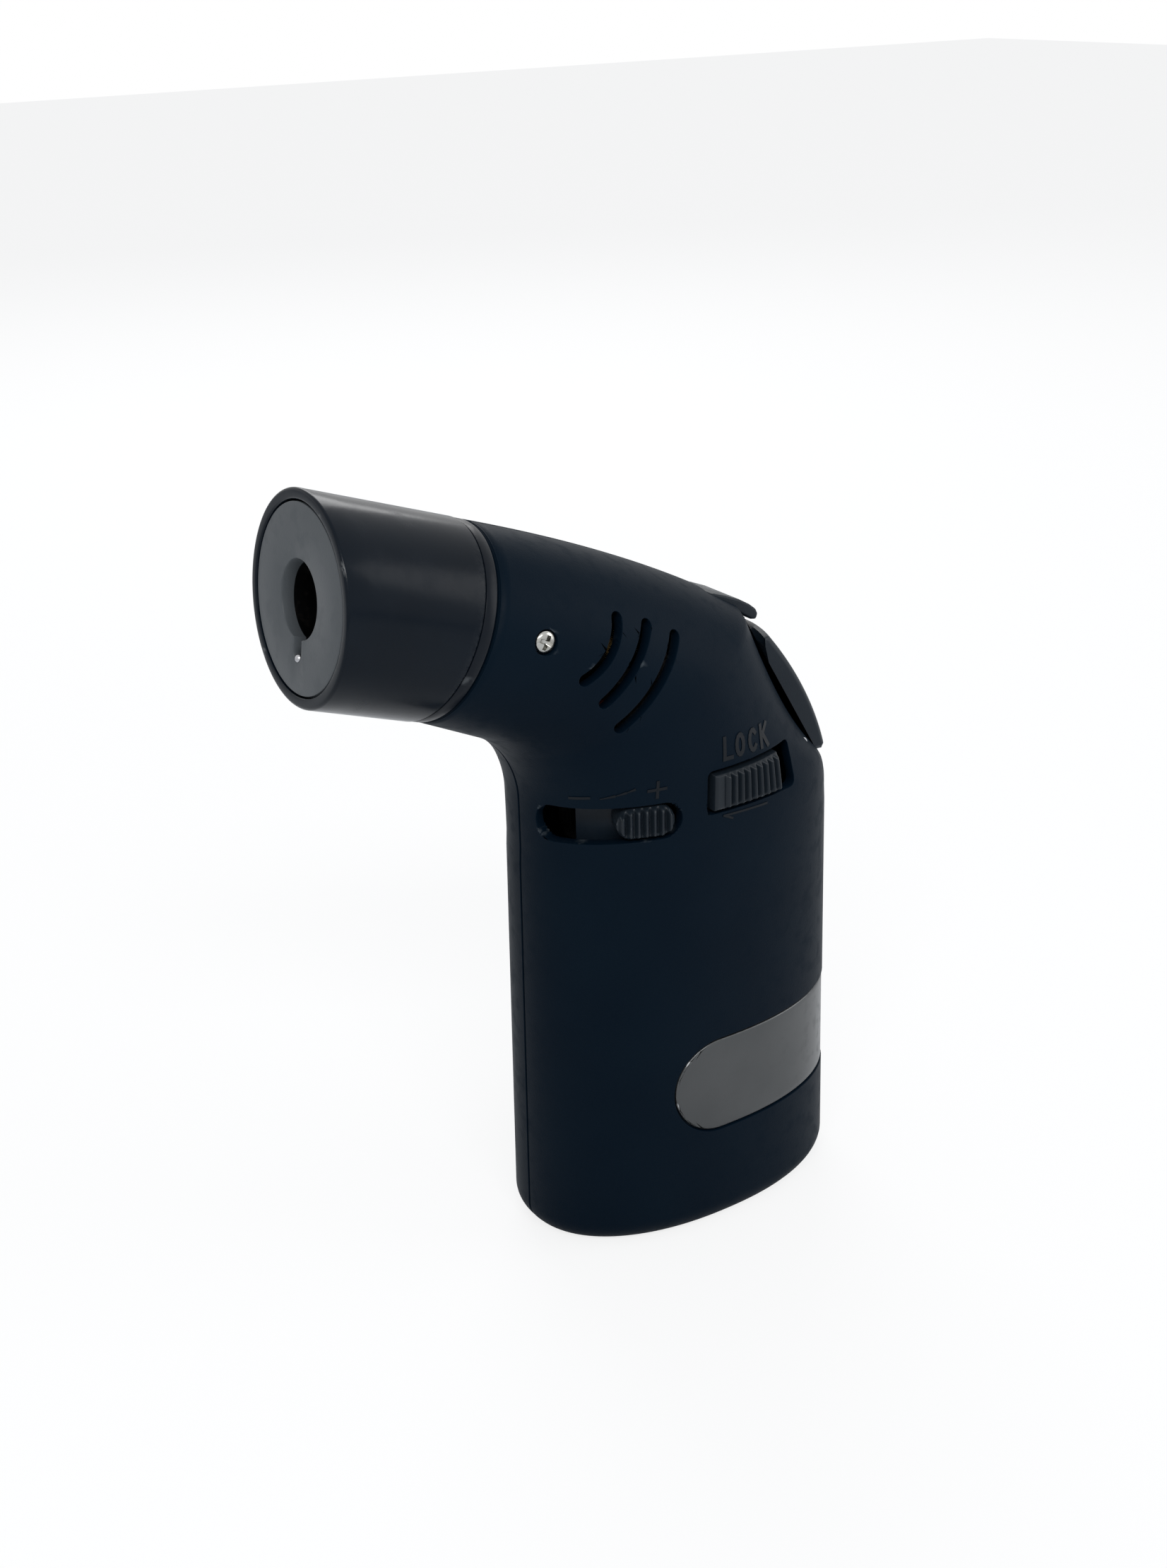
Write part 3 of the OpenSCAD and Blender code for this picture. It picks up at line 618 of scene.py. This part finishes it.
dull = add(tree, "ShaderNodeMapRange", Value=marks.outputs["Smudges"], _3=0.2, _4=0.3)
tree.links.new(dull.outputs[0], shader.inputs["Roughness"])
peel = add(tree, "ShaderNodeBump", Height=orange_peel.outputs[0], Strength=0.08, Distance=0.00004)
tree.links.new(peel.outputs[0], shader.inputs["Normal"])
finish(shroud, "housing", ["barrel_shroud"], enamel)


# ---------------------------------------------------------------- shroud collar
# A short black band between the tube and the shells. It hides the joint and leaves a fine
# groove on each side.
collar = turned("collar_band", [(49, 14.4, -3.9), (49, 16.6, -3.9), (49.08, 16.82, -3.9), (49.3, 16.9, -3.9),
                                (50.85, 16.9, -3.9), (51.03, 16.82, -3.9), (51.1, 16.6, -3.9), (51.1, 14.4, -3.9)])
finish(collar, "housing", ["shroud_collar"],
       plastic("collar_black", (0.002, 0.004, 0.007), (0.003, 0.005, 0.0085), (0.04, 0.045, 0.05), (0.3, 0.42),
               1500.0, 0.12, specular=0.12))


# ---------------------------------------------------------------- front disc
# Stamped plate in satin grey paint, set level with the lip. The round hole lets the flame
# out, and the keyway below it leaves a view of the spark wire.
PORT_R, NOTCH_HALF, NOTCH_END, DISC_R = 6.2, 1.3, 8.5, 14.95


def keyhole(grow, n=120):
    """The hole's outline as (up, across), starting and ending at the keyway's sides."""
    r, w = PORT_R + grow, NOTCH_HALF + grow
    a = math.asin(w / r)
    rim = [(-r * math.cos(a + (2 * math.pi - 2 * a) * q / n), r * math.sin(a + (2 * math.pi - 2 * a) * q / n))
           for q in range(n + 1)]
    end = [(-NOTCH_END + w * math.cos(math.pi / 2 + math.pi * q / 12), -w * math.sin(math.pi / 2 + math.pi * q / 12))
           for q in range(13)]
    side = [(-r * math.cos(a) + (r * math.cos(a) - NOTCH_END) * q / 3, -w) for q in (1, 2)]
    return rim + side + end + [(u, -v) for u, v in reversed(side)]


def disc_loop(outline, depth):
    loop = []
    for u, v in outline:
        x, z = barrel_point(MOUTH_S - depth / math.cos(MOUTH_LEAN) + u * math.tan(MOUTH_LEAN), u)
        loop.append(Vector((x, v, z)) * MM)
    return loop


hole = keyhole(0)
count = len(hole)
start = math.asin(NOTCH_HALF / PORT_R)
outer = []
for q in range(count):
    if q <= 120:
        a = start + (2 * math.pi - 2 * start) * q / 120
    else:
        a = 2 * math.pi - start + 2 * start * (q - 120) / (count - 120)
    outer.append((-math.cos(a), math.sin(a)))
loops = [disc_loop(hole, 2.4), disc_loop(hole, 0.5), disc_loop(keyhole(0.12), 0.25), disc_loop(keyhole(0.35), 0.15),
         disc_loop([(u * (DISC_R - 0.35), v * (DISC_R - 0.35)) for u, v in outer], 0.15),
         disc_loop([(u * (DISC_R - 0.1), v * (DISC_R - 0.1)) for u, v in outer], 0.23),
         disc_loop([(u * DISC_R, v * DISC_R) for u, v in outer], 0.45),
         disc_loop([(u * DISC_R, v * DISC_R) for u, v in outer], 2.4)]
faces = [(k * count + q, k * count + (q + 1) % count, (k + 1) % 8 * count + (q + 1) % count, (k + 1) % 8 * count + q)
         for k in range(8) for q in range(count)]
disc = piece("end_disc", [p for loop in loops for p in loop], faces)
grey_paint = plastic("disc_paint", (0.056, 0.063, 0.069), (0.063, 0.07, 0.076), (0.2, 0.205, 0.21), (0.42, 0.56),
                     3200.0, 0.2, specular=0.2, sharp=1.0)
finish(disc, "housing", ["front_disc"], grey_paint)


# ---------------------------------------------------------------- burner, jet and spark wire
# Drawn steel burner tube with a drilled flame holder and a brass jet behind it. The brass is darkened
# as painted shade, so the jet and valves inside show no glint. The spark wire runs beside the tube
# in a white ceramic sleeve, and a red lead feeds it; its red is darkened as painted shade inside the handle.
def metal(name, colour, dark, rough, grain, bump, heat=None):
    mat = bpy.data.materials.new(name)
    mat.use_nodes = True
    tree = mat.node_tree
    shader = tree.nodes["Principled BSDF"]
    shader.inputs["Metallic"].default_value = 1
    marks = group_in(tree, handling_marks, Patch_Scale=160.0, Smudge_Scale=900.0)
    lines = group_in(tree, moulding_grain, Grain_Scale=grain)
    tone = blend_colour(tree, marks.outputs["Patches"], colour, dark)
    if heat:
        tone = blend_colour(tree, marks.outputs["Smudges"], tone, heat)
    tree.links.new(tone, shader.inputs["Base Color"])
    dull = add(tree, "ShaderNodeMapRange", Value=marks.outputs["Smudges"], _3=rough[0], _4=rough[1])
    tree.links.new(dull.outputs[0], shader.inputs["Roughness"])
    bumps = add(tree, "ShaderNodeBump", Height=lines.outputs[0], Strength=bump, Distance=0.00003)
    tree.links.new(bumps.outputs[0], shader.inputs["Normal"])
    return mat


def dress(mat, *names):
    for name in names:
        obj = nodes[name]
        if not obj.material_slots:
            obj.data.materials.append(mat)
        for spot in obj.material_slots:
            spot.material = mat


steel = metal("bright_steel", (0.5, 0.5, 0.51), (0.38, 0.38, 0.4), (0.25, 0.4), 2200.0, 0.1)
# Brass colour darkened as painted shade: these parts sit inside, where their glint would show through the vents.
brass = metal("brass_painted_shade", (0.3, 0.2, 0.08), (0.2, 0.13, 0.05), (0.25, 0.42), 2600.0, 0.12)
dress(metal("scorched_steel", (0.012, 0.0125, 0.0135), (0.007, 0.0075, 0.008), (0.5, 0.7), 1800.0, 0.25,
            (0.02, 0.017, 0.015)), "burner_tube", "flame_holder")
dress(brass, "jet_holder", "jet", "valve_body", "valve_stem", "fill_valve", "fill_stem")
dress(steel, "electrode", "valve_crank", "crank_pin", "button_pin")
dress(plastic("white_ceramic", (0.72, 0.71, 0.67), (0.66, 0.64, 0.59), (0.8, 0.79, 0.76), (0.25, 0.4), 1200.0, 0.05, sharp=1.0),
      "insulator")
# Painted shade: the lead's red is darkened so that it stays dark where it shows through the vents.
dress(plastic("lead_rubber", (0.09, 0.011, 0.011), (0.07, 0.009, 0.009), (0.1, 0.02, 0.02), (0.4, 0.55), 1500.0, 0.15, 0.3, 1.0),
      "ignition_lead")


# ---------------------------------------------------------------- fuel system and igniter
# Nylon tank with a welded lid and a rubber seal, a nylon hose from the brass valve, and
# the plastic igniter with its plunger. All of it sits loose in pockets of the shells. The tank, lid,
# hose and igniter body are coloured dark as painted shade, so the inside seen through the vents stays dark.
# Painted shade: tank, lid and hose are coloured near black so that the inside reads dark through the vents.
dress(plastic("nylon_painted_shade", (0.022, 0.023, 0.025), (0.03, 0.031, 0.033), (0.1, 0.1, 0.1), (0.3, 0.45), 1500.0, 0.12, 0.3, 1.0),
      "tank", "tank_lid", "gas_hose")
dress(plastic("seal_rubber", (0.012, 0.012, 0.012), (0.018, 0.018, 0.018), (0.05, 0.05, 0.05), (0.55, 0.7), 1800.0, 0.2, 0.3, 1.0),
      "tank_seal")
# Painted shade: the igniter body is coloured near black so that it reads dark through the vents.
dress(plastic("igniter_painted_shade", (0.03, 0.029, 0.027), (0.038, 0.036, 0.034), (0.1, 0.1, 0.1), (0.35, 0.5), 1800.0, 0.12, 0.3, 1.0),
      "piezo_body")
inner_black = plastic("moulded_black", (0.012, 0.015, 0.018), (0.016, 0.019, 0.023), (0.06, 0.065, 0.07), (0.35, 0.5),
                      2200.0, 0.15, specular=0.12, sharp=1.0)
dress(inner_black, "piezo_plunger", "lock_slider", "base_cover")
dress(plastic("lever_plastic", (0.0045, 0.0085, 0.014), (0.0055, 0.0098, 0.0155), (0.08, 0.085, 0.09), (0.4, 0.5),
              2200.0, 0.08, specular=0.15, sharp=1.0), "flame_ring")


# ---------------------------------------------------------------- flame knob
# Moulded thumb piece on the end of the flame lever. It stands out through the long slot and
# has seven upright ribs for grip.
def height_skin(name, point, columns, rows, depth):
    """A closed raised pad: point(i, j) gives its face, and depth(p) the matching place on its underside."""
    front = [point(i / columns, j / rows) for i in range(columns + 1) for j in range(rows + 1)]
    rear = [depth(p) for p in front]
    w, n = rows + 1, (columns + 1) * (rows + 1)
    faces = [(i * w + j, i * w + j + 1, (i + 1) * w + j + 1, (i + 1) * w + j)
             for i in range(columns) for j in range(rows)]
    faces += [tuple(n + v for v in reversed(f)) for f in faces]
    rim = [(0, j, 0, j + 1) for j in range(rows)] + [(columns, j, columns, j + 1) for j in range(rows)]
    rim += [(i, 0, i + 1, 0) for i in range(columns)] + [(i, rows, i + 1, rows) for i in range(columns)]
    faces += [(a * w + b, c * w + d, n + c * w + d, n + a * w + b) for a, b, c, d in rim]
    return piece(name, front + rear, faces)


def rib(at, pitch, sharp=0.8):
    return (0.5 + 0.5 * math.cos(2 * math.pi * at / pitch)) ** sharp


def rim_round(gap, r):
    """Height lost near a rounded rim, at gap from it."""
    g = max(0.0, r - gap)
    return r - math.sqrt(max(0.0, r * r - g * g))


KNOB_BEARING, LEVER_R, KNOB_OUT = math.radians(250), 19.71, 4.3


def flame_knob_face(u, v):
    t = -5.2 + 10.4 * (0.5 - 0.5 * math.cos(math.pi * u)) if u not in (0, 1) else (-5.19 if u == 0 else 5.19)
    tall = math.sqrt(max(0.02, 9 - max(0, abs(t) - 2.2) ** 2))
    z = tall * math.sin(math.pi * (v - 0.5))
    gap = min(tall - abs(z), 5.2 - abs(t))
    out = KNOB_OUT - 0.4 + (1.1 * rib(t, 1.42) if abs(t) < 4.97 else 0) * min(1, max(0, (tall - 0.2 - abs(z)) / 0.5))
    out -= rim_round(gap, 0.55)
    return Vector((LEVER_R + out, t, z))


def about_valve(p):
    c, s = math.cos(KNOB_BEARING), math.sin(KNOB_BEARING)
    return Vector((VALVE[0] + p.x * c - p.y * s, VALVE[1] + p.x * s + p.y * c, FLAME_Z + p.z)) * MM


knob = height_skin("flame_knob_pad", flame_knob_face, 168, 24, lambda p: Vector((LEVER_R, p.y, p.z)))
for v in knob.data.vertices:
    v.co = about_valve(v.co)
grip_black = plastic("grip_black", (0.006, 0.0095, 0.0135), (0.009, 0.013, 0.018), (0.055, 0.062, 0.07), (0.32, 0.46),
                     2400.0, 0.15, specular=0.18, sharp=0.54)
finish(knob, "flame_lever", ["flame_knob"], grip_black, 50)


# ---------------------------------------------------------------- lock knob
# Thumb piece of the lock slide: a low pad at its front end, then eight upright ribs. It is
# moulded in one with a tongue that runs in the slot.
body_tree = BVHTree.FromPolygons([v.co for v in body_form.data.vertices], [p.vertices for p in body_form.data.polygons])


def surface_at(x, z):
    """Where a line along Y meets the flame-slot side of the body, and the way the surface faces there."""
    hit = body_tree.ray_cast(Vector((x * MM, -0.05, z * MM)), Vector((0, 1, 0)))
    return hit[0], hit[1]


def lock_knob_face(u, v):
    x = -4.6 + 15.3 * u
    z = 3.35 * math.sin(math.pi * (v - 0.5))
    gap = min(x + 4.6, 10.7 - x, 3.35 - abs(z))
    out = 0.75
    if x > -2.7:
        out += (1.05 * rib(x - 10.0, 1.5, 0.7) - 0.3) * min(1, max(0, (3.2 - abs(z)) / 0.45))
    out -= rim_round(gap, 0.6)
    at = surface_at(x, LOCK_Z + z)[0]
    return Vector((x, at.y / MM - out, LOCK_Z + z)) * MM


lock_pad = height_skin("lock_knob_pad", lock_knob_face, 306, 28, lambda p: Vector((p.x, -13.4 * MM, p.z)))
finish(lock_pad, "lock", ["lock_knob"], grip_black, 50)


# ---------------------------------------------------------------- name plate
# Pressed metal band let into the handle. It starts with a round end on the side and wraps the
# rear edge, and its rim is cut back to a bright bevel. It is left blank.
plate = band(0, 0.95, 0.15)
plate.name = plate.data.name = "plate_band"
round_edges(plate, 0.3, 3)
gunmetal = bpy.data.materials.new("gunmetal_plate")
gunmetal.use_nodes = True
tree = gunmetal.node_tree
shader = tree.nodes["Principled BSDF"]
shader.inputs["Metallic"].default_value = 0.85
marks = group_in(tree, handling_marks, Patch_Scale=60.0, Smudge_Scale=420.0)
wear = group_in(tree, worn_edges, Sharpness=0.53, Break_Scale=600.0)
at = add(tree, "ShaderNodeTexCoord")
stretch = add(tree, "ShaderNodeMapping", Vector=at.outputs["Object"], Scale=(90, 90, 4200))
brush = add(tree, "ShaderNodeTexNoise", Vector=stretch.outputs[0], Scale=1.0, Detail=2.0)
tone = blend_colour(tree, marks.outputs["Patches"], (0.066, 0.069, 0.071), (0.076, 0.079, 0.081))
tone = blend_colour(tree, wear.outputs["Wear"], tone, (0.42, 0.43, 0.44))
tree.links.new(tone, shader.inputs["Base Color"])
dull = add(tree, "ShaderNodeMapRange", Value=marks.outputs["Smudges"], _3=0.34, _4=0.46)
tree.links.new(dull.outputs[0], shader.inputs["Roughness"])
drawn = add(tree, "ShaderNodeBump", Height=brush.outputs["Fac"], Strength=0.12, Distance=0.00003)
tree.links.new(drawn.outputs[0], shader.inputs["Normal"])
finish(plate, "housing", ["name_plate"], gunmetal)


# ---------------------------------------------------------------- screws
# Small plated cross-head screws: one on each side holds the shroud's sleeve, and five in deep
# wells on the far side draw the shells together.
def turned_y(name, x, z, profile, n=48):
    rings = [[Vector((x + r * math.cos(2 * math.pi * j / n), y, z + r * math.sin(2 * math.pi * j / n))) * MM
              for j in range(n)] for y, r in profile]
    return skin(name, rings)


def screw(name, x, z, y, end, side, turn):
    """Domed head outwards at y, shank to end; side is -1 or 1, and turn is where the driver left the cross."""
    head = [(y - 0.03, 0.5), (y - 0.12, 1.1), (y - 0.3, 1.6), (y - 0.55, 1.85), (y - 0.8, 1.92), (y - 1.15, 1.9),
            (y - 1.2, 1.0), (end + 0.5, 1.0), (end, 0.5)]
    obj = turned_y(name, x, z, [(side * a, r) for a, r in head])
    arms = []
    for k in (0, 1):
        a = turn + k * math.pi / 2
        c, s = math.cos(a), math.sin(a)
        rings = []
        for depth, long, wide in ((0.15, 1.45, 0.4), (-0.3, 1.2, 0.34), (-0.95, 0.5, 0.2)):
            rings.append([Vector((x + u * c - v * s, side * (y + depth), z + u * s + v * c)) * MM
                          for u, v in ((-long, -wide), (long, -wide), (long, wide), (-long, wide))])
        arms.append(skin("arm", rings))
    for arm in arms:
        shape_with(obj, arm, "DIFFERENCE")
    drop(*arms)
    return obj


plated = metal("plated_steel", (0.46, 0.46, 0.44), (0.34, 0.34, 0.32), (0.2, 0.36), 2400.0, 0.2, (0.16, 0.15, 0.13))
tube_screws = merge([screw("tube_screws", *SCREW, 17.5, 13.2, m, 0.5 + m) for m in (-1, 1)])
finish(tube_screws, "housing", ["barrel_screws"], plated)
half_screws = merge([screw("half_screws", x, z, y + 1.2, y - 4.4, 1, x) for x, z, y in BOSSES])
finish(half_screws, "housing", ["shell_screws"], plated)


# ---------------------------------------------------------------- thumb button
# Curved moulded button at the back of the head, hinged on a pin at its lower end. Two lugs
# behind it push the igniter's plunger and the valve's crank.
BUTTON_HALF = 8.7
BUTTON_PATH = ((17, 112), (24, 104), (29, 95), (31.2, 86.9))


def button_skin(u, v):
    p = Vector((*curve(*BUTTON_PATH, u), 0))
    step = Vector((*curve(*BUTTON_PATH, min(1, u + 0.01)), 0)) - Vector((*curve(*BUTTON_PATH, max(0, u - 0.01)), 0))
    out = Vector((-step.y, step.x, 0)).normalized()
    y = BUTTON_HALF * math.sin(math.pi * (v - 0.5))
    gap = min(BUTTON_HALF - abs(y), u * 29, (1 - u) * 29)
    sink = 1.5 * abs(y / BUTTON_HALF) ** 2.2 + rim_round(gap, 0.9)
    p -= out * -sink if out.x < 0 else out * sink
    return Vector((p.x, y, p.y)) * MM


def button_back(p):
    u = min(1, max(0, (112 - p.z / MM) / 25))
    return Vector((14.7 + 5.1 * u ** 0.8, p.y / MM, 110.5 - 23.9 * u)) * MM


pad = height_skin("button_pad", button_skin, 60, 36, button_back)
lugs = [prism("lug", [(13, 101.5), (21.6, 101.5), (21.6, 105.5), (13, 105.5)], -5.5, -2.5),
        prism("lug", [(11.1, 96), (25.1, 96), (25.1, 100), (11.1, 100)], 4, 6),
        prism("lug", disc_outline(22.5, 89.2, 2.6), -8.4, 8.4)]
button_pad = merge([pad] + lugs)
button_pad.name = button_pad.data.name = "button_pad"
button_black = plastic("button_black", (0.003, 0.0065, 0.011), (0.005, 0.009, 0.014), (0.05, 0.056, 0.063),
                       (0.36, 0.5), 2600.0, 0.2, specular=0.15, sharp=0.54)
finish(button_pad, "button", ["thumb_button"], button_black, 45)


# ---------------------------------------------------------------- top bridge
# Moulded tongue that closes the top of the button's bay. The button's upper end slides in
# under its rear lip.
bridge = prism("bridge_tongue", [(5.2, 117.5), (6, 119.9), (9, 118.85), (12, 117.6), (14.2, 116.3), (15.6, 115.2),
                                 (16.1, 114.2), (15.7, 113.2), (14.6, 113.4), (11.6, 115.4)], -5.5, 5.5)
round_edges(bridge, 0.4, 3, 25)
finish(bridge, "housing", ["top_bridge"], button_black, 40)


# ---------------------------------------------------------------- signs by the controls
# Raised marks moulded on the shell: LOCK and a slide arrow at the lock, and minus, a rising
# wedge and plus over the flame slot. Their colour is darker than the shell's: painted shade
# that gives the raised strokes the dark look of engraved ones.
def ribbon(points, wide):
    """A stroke's outline as short quads, each (x, z) corner list, along a polyline."""
    quads = []
    for a, b in zip(points, points[1:]):
        long = math.hypot(b[0] - a[0], b[1] - a[1])
        steps = max(1, int(long / 0.4))
        ux, uz = (b[0] - a[0]) / long, (b[1] - a[1]) / long
        wa = wide[0] if isinstance(wide, tuple) else wide
        wb = wide[1] if isinstance(wide, tuple) else wide
        rows = []
        for k in range(steps + 1):
            t = k / steps
            w = (wa + (wb - wa) * t) / 2
            grow = w if t in (0, 1) and not isinstance(wide, tuple) else 0
            d = long * t + (grow if t == 1 else -grow if t == 0 else 0)
            rows.append([(a[0] + ux * d - uz * w * s, a[1] + uz * d + ux * w * s) for s in (-1, 1)])
        quads.append(rows)
    return quads


def raised(name, strokes, proud=0.12):
    verts, faces = [], []
    for points, wide in strokes:
        for rows in ribbon(points, wide):
            start = len(verts)
            for row in rows:
                for lift, shrink in ((-0.3, 0.0), (proud, 0.1)):
                    mx, mz = (row[0][0] + row[1][0]) / 2, (row[0][1] + row[1][1]) / 2
                    for x, z in row:
                        at, facing = surface_at(x + (mx - x) * shrink, z + (mz - z) * shrink)
                        verts.append(at + facing * lift * MM)
            n = len(rows)
            for k in range(n - 1):
                p, q = start + 4 * k, start + 4 * k + 4
                faces += [(p + 2, p + 3, q + 3, q + 2), (p, p + 2, q + 2, q), (p + 3, p + 1, q + 1, q + 3),
                          (p + 1, p, q, q + 1)]
            p, q = start, start + 4 * (n - 1)
            faces += [(p, p + 1, p + 3, p + 2), (q, q + 2, q + 3, q + 1)]
    mesh = bpy.data.meshes.new(name)
    mesh.from_pydata(verts, [], faces)
    obj = bpy.data.objects.new(name, mesh)
    scene.collection.objects.link(obj)
    obj.data.materials.append(sign_painted_shade)
    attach(obj, "housing")
    return obj


# Painted shade: the signs are coloured darker than the body so that they read as dark strokes.
sign_painted_shade = plastic("sign_painted_shade", (0.0007, 0.0022, 0.0045), (0.001, 0.0028, 0.0055), (0.03, 0.036, 0.044), (0.28, 0.38),
                     2400.0, 0.1, specular=0.15, sharp=1.0)
STROKE = 0.82


def letter(x, lines):
    drop_by = 0.045 * (x + 2.6)
    return [([(x + u, 95.2 - drop_by + v - 0.045 * u) for u, v in line], STROKE) for line in lines]


round_o = [(1.15 + 0.8 * math.cos(math.pi * q / 8), 2.05 + 1.7 * math.sin(math.pi * q / 8)) for q in range(17)]
round_c = [(1.15 + 0.85 * math.cos(math.pi * q / 8), 2.05 + 1.7 * math.sin(math.pi * q / 8)) for q in range(2, 15)]
raised("lock_word", letter(-2.4, [[(0.2, 3.9), (0.2, 0.2), (1.8, 0.2)]]) + letter(0.3, [round_o])
       + letter(3.6, [round_c]) + letter(6.7, [[(0.3, 3.9), (0.3, 0.2)], [(1.9, 3.9), (0.4, 1.9)],
                                               [(0.8, 2.4), (2.0, 0.2)]]))
raised("minus_sign", [([(-28.4, 91.95), (-26.3, 92.1)], 0.55)])
raised("rising_wedge", [([(-24.7, 91.9), (-22.5, 92.4), (-20.8, 92.9), (-19.4, 93.4)], (0.2, 0.55))])
raised("plus_sign", [([(-17.1, 92.7), (-14.2, 92.75)], 0.6), ([(-15.6, 91.3), (-15.6, 94.1)], 0.6)])
raised("slide_arrow", [([(-2.3, 84.75), (7.3, 84.5)], 0.45), ([(-2.3, 84.75), (-0.6, 83.9)], 0.45)])


# ---------------------------------------------------------------- last steps
# The smooth forms that the shells were cut from are scaffolding only.
drop(body_form, bore_form, bay_block)
